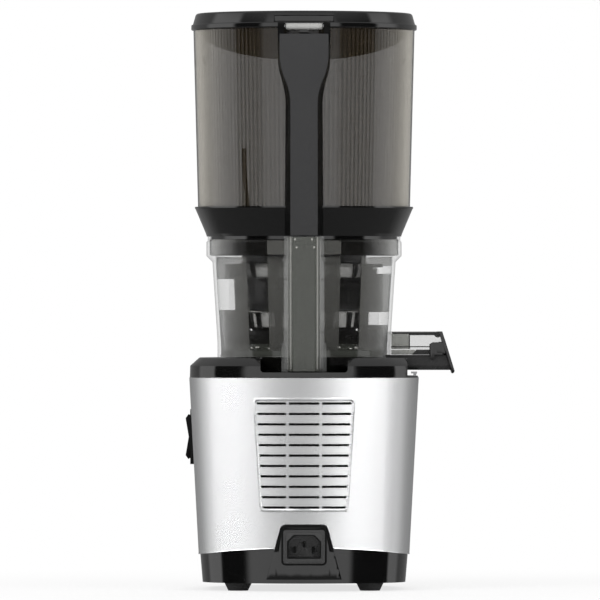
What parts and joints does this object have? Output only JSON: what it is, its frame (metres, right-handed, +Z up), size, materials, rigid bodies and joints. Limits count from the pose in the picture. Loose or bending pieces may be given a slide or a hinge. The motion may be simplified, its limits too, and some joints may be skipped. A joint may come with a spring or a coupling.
{
  "type": "cold press juicer",
  "caption": "Upright cold press juicer: steel motor base, clear drum with strainer, brush and auger, smoky hopper with hinged lid, side pulp chute and front juice spout.",
  "frame": {"origin": "on the standing surface, under the middle of the bounding box", "axes": "+Z up along the drum; +Y towards the front, where the juice spout is; +X towards the pulp chute; the power inlet and the vents face -Y"},
  "size_m": [0.2058, 0.2182, 0.44],
  "materials": {
    "rubber_feet": "matt rubber",
    "lower_base": "polished black",
    "inlet_tongue": "polished black",
    "base_screws": "zinc plated",
    "steel_housing": "brushed stainless steel",
    "top_cover": "polished black",
    "power_inlet": "black moulding",
    "inlet_pins": "nickel-plated brass",
    "switch_bezel": "black moulding",
    "motor_can": "galvanised can",
    "motor_bearings": "ball bearing",
    "motor_stator": "laminations and windings",
    "gearbox_case": "glass-filled nylon",
    "gearbox_lid": "glass-filled nylon",
    "wheel_pin": "ground steel",
    "shaft_bearing": "ball bearing",
    "shaft_seal": "silicone lip seal",
    "circuit_board": "circuit board",
    "board_parts": "electronic parts",
    "interlock_switch": "microswitch",
    "switch_plunger": "acetal",
    "catch_pin": "ground steel",
    "catch_pocket": "black moulding",
    "switch_rocker": "black moulding",
    "rotor_core": "laminations",
    "motor_shaft": "ground steel",
    "cooling_fan": "moulded nylon",
    "compound_gear": "acetal",
    "output_gear": "acetal",
    "drive_shaft": "stainless steel",
    "catch_lever": "plated steel",
    "drum": "clear smoky copolyester",
    "chute_hood": "clear smoky copolyester",
    "juice_spout": "clear smoky copolyester",
    "pulp_trough": "black moulding",
    "cap_pins": "stainless steel",
    "strainer_frame": "black moulding",
    "strainer_mesh": "perforated steel",
    "idler_pin": "stainless steel",
    "pulp_cap": "smoky black moulding",
    "pulp_cap_seal": "silicone",
    "juice_cap": "black moulding",
    "juice_plug": "silicone",
    "idler_gear": "acetal",
    "brush_frame": "smoky moulding",
    "brush_wipers": "silicone",
    "auger": "black moulding",
    "feed_blade": "black moulding",
    "rod_lower": "acetal",
    "hopper_base": "polished black",
    "hopper_wall": "smoky brown copolyester",
    "spine_frame": "polished black",
    "spine_cover": "satin dark grey",
    "hinge_pin": "stainless steel",
    "rod_upper": "acetal",
    "lid": "smoky black moulding",
    "lid_skirt": "dark moulding"
  },
  "bodies": {
    "base": {"rubber_feet": "rubber_feet", "lower_base": "lower_base", "inlet_tongue": "inlet_tongue", "base_screws": "base_screws", "steel_housing": "steel_housing", "top_cover": "top_cover", "power_inlet": "power_inlet", "inlet_pins": "inlet_pins", "switch_bezel": "switch_bezel", "motor_can": "motor_can", "motor_bearings": "motor_bearings", "motor_stator": "motor_stator", "gearbox_case": "gearbox_case", "gearbox_lid": "gearbox_lid", "wheel_pin": "wheel_pin", "shaft_bearing": "shaft_bearing", "shaft_seal": "shaft_seal", "circuit_board": "circuit_board", "board_parts": "board_parts", "interlock_switch": "interlock_switch", "switch_plunger": "switch_plunger", "catch_pin": "catch_pin", "catch_pocket": "catch_pocket"},
    "rocker": {"switch_rocker": "switch_rocker"},
    "rotor": {"rotor_core": "rotor_core", "motor_shaft": "motor_shaft", "cooling_fan": "cooling_fan"},
    "wheel": {"compound_gear": "compound_gear"},
    "output": {"output_gear": "output_gear", "drive_shaft": "drive_shaft"},
    "catch": {"catch_lever": "catch_lever"},
    "drum": {"drum": "drum", "chute_hood": "chute_hood", "juice_spout": "juice_spout", "pulp_trough": "pulp_trough", "cap_pins": "cap_pins", "strainer_frame": "strainer_frame", "strainer_mesh": "strainer_mesh", "idler_pin": "idler_pin"},
    "pulp_flap": {"pulp_cap": "pulp_cap", "pulp_cap_seal": "pulp_cap_seal"},
    "juice_flap": {"juice_cap": "juice_cap", "juice_plug": "juice_plug"},
    "idler": {"idler_gear": "idler_gear"},
    "brush": {"brush_frame": "brush_frame", "brush_wipers": "brush_wipers"},
    "auger": {"auger": "auger", "feed_blade": "feed_blade"},
    "lower_rod": {"rod_lower": "rod_lower"},
    "hopper": {"hopper_base": "hopper_base", "hopper_wall": "hopper_wall", "spine_frame": "spine_frame", "spine_cover": "spine_cover", "hinge_pin": "hinge_pin"},
    "upper_rod": {"rod_upper": "rod_upper"},
    "lid": {"lid": "lid", "lid_skirt": "lid_skirt"}
  },
  "joints": [
    {"name": "auger_turn", "type": "hinge", "parent": "drum", "child": "auger", "pos_m": [-0.01236, 0.00088, 0.19], "axis": [0, 0, 1], "continuous": true},
    {"name": "output_turn", "type": "hinge", "parent": "base", "child": "output", "pos_m": [-0.01236, 0.00088, 0.13], "axis": [0, 0, 1], "continuous": true},
    {"name": "wheel_turn", "type": "hinge", "parent": "base", "child": "wheel", "pos_m": [-0.01236, -0.03512, 0.11], "axis": [0, 0, 1], "continuous": true},
    {"name": "motor_turn", "type": "hinge", "parent": "base", "child": "rotor", "pos_m": [-0.01236, 0.00088, 0.057], "axis": [0, 0, 1], "continuous": true},
    {"name": "idler_turn", "type": "hinge", "parent": "drum", "child": "idler", "pos_m": [-0.04536, 0.00088, 0.184], "axis": [0, 0, 1], "continuous": true},
    {"name": "brush_turn", "type": "hinge", "parent": "drum", "child": "brush", "pos_m": [-0.01236, 0.00088, 0.2], "axis": [0, 0, 1], "continuous": true},
    {"name": "switch_rock", "type": "hinge", "parent": "base", "child": "rocker", "pos_m": [-0.09634, -0.01112, 0.116], "axis": [0, 1, 0], "range_deg": [-7, 7]},
    {"name": "catch_press", "type": "hinge", "parent": "base", "child": "catch", "pos_m": [0.07157, 0.00088, 0.1485], "axis": [0, -1, 0], "range_deg": [0, 4], "stiffness_Nm_per_rad": 0.4},
    {"name": "drum_lift", "type": "slide", "parent": "base", "child": "drum", "axis": [0, 0, 1], "range_m": [0, 0.06]},
    {"name": "hopper_lift", "type": "slide", "parent": "drum", "child": "hopper", "axis": [0, 0, 1], "range_m": [0, 0.09]},
    {"name": "lid_open", "type": "hinge", "parent": "hopper", "child": "lid", "pos_m": [-0.01236, -0.09112, 0.4276], "axis": [1, 0, 0], "range_deg": [0, 100]},
    {"name": "upper_rod_slide", "type": "slide", "parent": "hopper", "child": "upper_rod", "axis": [0, 0, 1], "range_m": [0, 0.0026]},
    {"name": "lower_rod_slide", "type": "slide", "parent": "drum", "child": "lower_rod", "axis": [0, 0, 1], "range_m": [0, 0.0026]},
    {"name": "pulp_cap_open", "type": "hinge", "parent": "drum", "child": "pulp_flap", "pos_m": [0.09004, 0.00088, 0.1941], "axis": [0, -1, 0], "range_deg": [0, 90]},
    {"name": "juice_cap_open", "type": "hinge", "parent": "drum", "child": "juice_flap", "pos_m": [-0.01236, 0.09898, 0.2181], "axis": [1, 0, 0], "range_deg": [0, 95]}
  ],
  "couplings": [
    {"joint": "wheel_turn", "follows": "motor_turn", "ratio": -0.25},
    {"joint": "output_turn", "follows": "motor_turn", "ratio": 0.0625},
    {"joint": "auger_turn", "follows": "motor_turn", "ratio": 0.0625},
    {"joint": "idler_turn", "follows": "motor_turn", "ratio": -0.052083},
    {"joint": "brush_turn", "follows": "motor_turn", "ratio": -0.018382},
    {"joint": "upper_rod_slide", "follows": "lid_open", "m_per_rad": 0.0014897},
    {"joint": "lower_rod_slide", "follows": "lid_open", "m_per_rad": 0.0014897}
  ]
}
